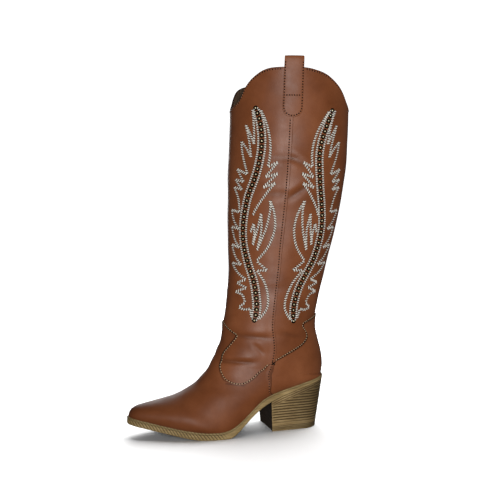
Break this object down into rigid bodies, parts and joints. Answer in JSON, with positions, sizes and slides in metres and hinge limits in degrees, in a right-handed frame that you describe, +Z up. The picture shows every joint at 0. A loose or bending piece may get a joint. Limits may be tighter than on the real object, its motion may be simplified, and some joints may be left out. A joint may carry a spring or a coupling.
{
  "type": "cowboy boot",
  "caption": "Knee-high pull-on western boot with pointed toe, block heel, scalloped topline, pull straps, flame stitching and studs.",
  "frame": {"origin": "centre of the boot's box on the floor plane, under the sole", "axes": "+Z up the shaft, -X towards the toe, -Y towards the outer (lateral) side of a left boot"},
  "size_m": [0.2692, 0.1064, 0.441],
  "materials": {
    "upper_leather": "semi-gloss smooth",
    "stiffener_sheet": "matte",
    "interlining_cloth": "matte woven",
    "lining_cloth": "matte ribbed",
    "fibre_board": "matte",
    "sock_leather": "satin",
    "latex_foam": "matte",
    "cork": "matte",
    "steel": "satin",
    "welt_edge": "matte",
    "outsole_edge": "matte striated",
    "stacked_heel": "matte grooved",
    "top_lift_rubber": "matte",
    "antique_brass": "antique, dark rim and bright dome",
    "ivory_thread": "matte twisted thread"
  },
  "bodies": {
    "root": {"shaft_front": "upper_leather", "shaft_back": "upper_leather", "vamp": "upper_leather", "heel_counter": "upper_leather", "toe_puff": "stiffener_sheet", "vamp_interlining": "interlining_cloth", "heel_stiffener": "stiffener_sheet", "shaft_lining_front": "lining_cloth", "shaft_lining_back": "lining_cloth", "vamp_lining": "lining_cloth", "counter_lining": "lining_cloth", "pull_strap_lateral": "upper_leather", "pull_strap_medial": "upper_leather", "insole_board": "fibre_board", "sock_liner": "sock_leather", "heel_pad": "latex_foam", "bottom_filler": "cork", "shank": "steel", "shank_rivets": "steel", "welt": "welt_edge", "outsole": "outsole_edge", "heel_block": "stacked_heel", "heel_screw": "steel", "heel_nails": "steel", "top_lift": "top_lift_rubber", "top_lift_pins": "steel", "studs_lateral_front": "antique_brass", "studs_lateral_back": "antique_brass", "studs_medial_front": "antique_brass", "studs_medial_back": "antique_brass", "flame_stitching_lateral": "ivory_thread", "flame_stitching_medial": "ivory_thread"}
  },
  "joints": []
}
